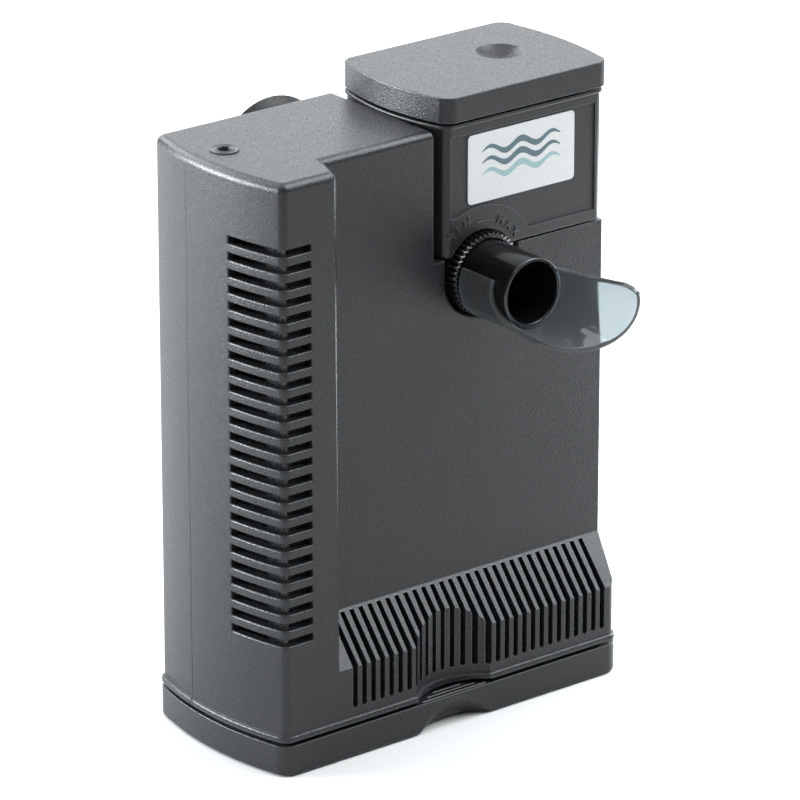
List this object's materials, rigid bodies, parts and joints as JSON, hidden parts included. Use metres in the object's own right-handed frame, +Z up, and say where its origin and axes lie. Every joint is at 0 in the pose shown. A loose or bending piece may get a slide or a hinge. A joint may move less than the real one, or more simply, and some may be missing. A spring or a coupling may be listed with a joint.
{
  "type": "internal aquarium filter",
  "caption": "Upright internal aquarium filter with a slotted foam housing, a lift-out pump head, a turning outlet spout, a flow ring and a pull-off base",
  "frame": {"origin": "middle of the underside of the base cover, between the housing's two bowed sides", "axes": "+Z up, the front face with the outlet looks along -Y, +X to the right as seen from the front"},
  "size_m": [0.108, 0.0935, 0.15],
  "materials": {
    "graphite_plastic": "fine spark-textured moulding",
    "gloss_black_plastic": "gloss",
    "smoke_clear_plastic": "clear, lightly smoked",
    "foam": "open-cell foam",
    "black_rubber": "satin",
    "label_film": "satin film",
    "lamination_steel": "stacked laminations",
    "copper_winding": "enamelled wire",
    "ceramic": "ground ceramic",
    "ferrite": "sintered",
    "impeller_plastic": "gloss",
    "nylon": "natural"
  },
  "bodies": {
    "housing": {"front_casing": "graphite_plastic", "rear_casing": "graphite_plastic", "chamber_divider": "graphite_plastic", "inlet_strainer": "nylon", "accessory_socket": "graphite_plastic", "suction_cup_top": "black_rubber", "suction_cup_left": "black_rubber", "suction_cup_right": "black_rubber"},
    "base": {"base_cover": "graphite_plastic", "foam_coarse": "foam", "foam_fine": "foam", "foam_upper": "foam", "foam_corner": "foam"},
    "pump": {"pump_case": "graphite_plastic", "label_plate": "label_film", "impeller_cover": "graphite_plastic", "cover_seal": "black_rubber", "stator_core": "lamination_steel", "coil_bobbin": "nylon", "coil_winding": "copper_winding", "motor_cover": "graphite_plastic", "motor_shaft": "ceramic", "lower_bush": "black_rubber", "upper_bush": "black_rubber", "cable_gland": "black_rubber", "outlet_tube": "gloss_black_plastic"},
    "regulator": {"regulator_ring": "gloss_black_plastic", "regulator_shutter": "gloss_black_plastic"},
    "rotor": {"rotor_magnet": "ferrite", "impeller": "impeller_plastic"},
    "spout": {"deflector": "smoke_clear_plastic"},
    "cap": {"lid": "graphite_plastic"}
  },
  "joints": [
    {"name": "pump_lift", "type": "slide", "parent": "housing", "child": "pump", "axis": [0, 0, 1], "range_m": [0, 0.03]},
    {"name": "cap_lift", "type": "slide", "parent": "pump", "child": "cap", "axis": [0, 0, 1], "range_m": [0, 0.01]},
    {"name": "base_release", "type": "slide", "parent": "housing", "child": "base", "axis": [0, 0, -1], "range_m": [0, 0.04]},
    {"name": "flow_turn", "type": "hinge", "parent": "pump", "child": "regulator", "pos_m": [0.0151, -0.0138, 0.1061], "axis": [0, -1, 0], "range_deg": [0, 90]},
    {"name": "spout_turn", "type": "hinge", "parent": "pump", "child": "spout", "pos_m": [0.0151, -0.0186, 0.1061], "axis": [0, -1, 0], "range_deg": [-150, 150]},
    {"name": "rotor_spin", "type": "hinge", "parent": "pump", "child": "rotor", "pos_m": [0.0274, 0.0037, 0.1136], "axis": [0, 0, 1], "continuous": true}
  ]
}
